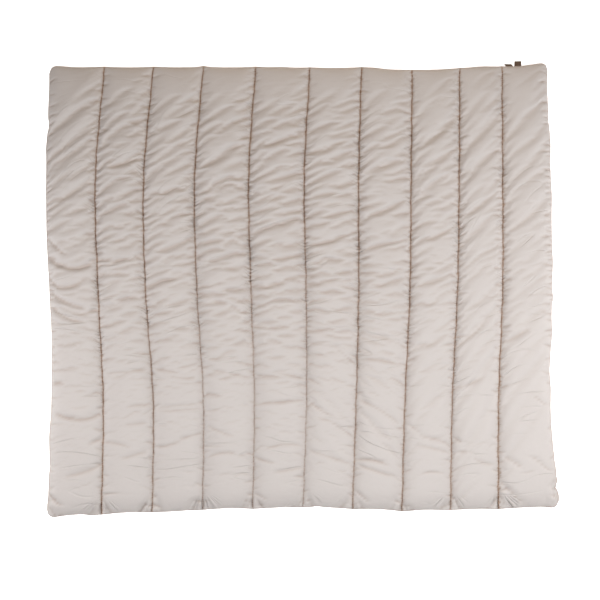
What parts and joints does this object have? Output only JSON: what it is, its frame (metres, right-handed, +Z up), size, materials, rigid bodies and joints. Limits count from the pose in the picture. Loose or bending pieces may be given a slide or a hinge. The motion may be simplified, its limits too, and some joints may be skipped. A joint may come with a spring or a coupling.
{
  "type": "camping duvet",
  "caption": "Rectangular filled duvet with straight sewn channels, a thin drawn-in edge, rounded corners and small woven labels in its head edge, lying flat to sleep under.",
  "frame": {"origin": "on the ground under the middle of the whole outline", "axes": "+Z up from the ground, +X across the channels to the right, +Y along the channels to the head edge with the labels"},
  "size_m": [2.2488, 2, 0.0445],
  "materials": {
    "shell_fabric": "plain woven polyester shell, warm beige grey, slightly satin",
    "label_weave": "brown woven label tape, matt"
  },
  "bodies": {
    "root": {"duvet": "shell_fabric", "label_strip": "label_weave", "label_tab": "label_weave"}
  },
  "joints": []
}
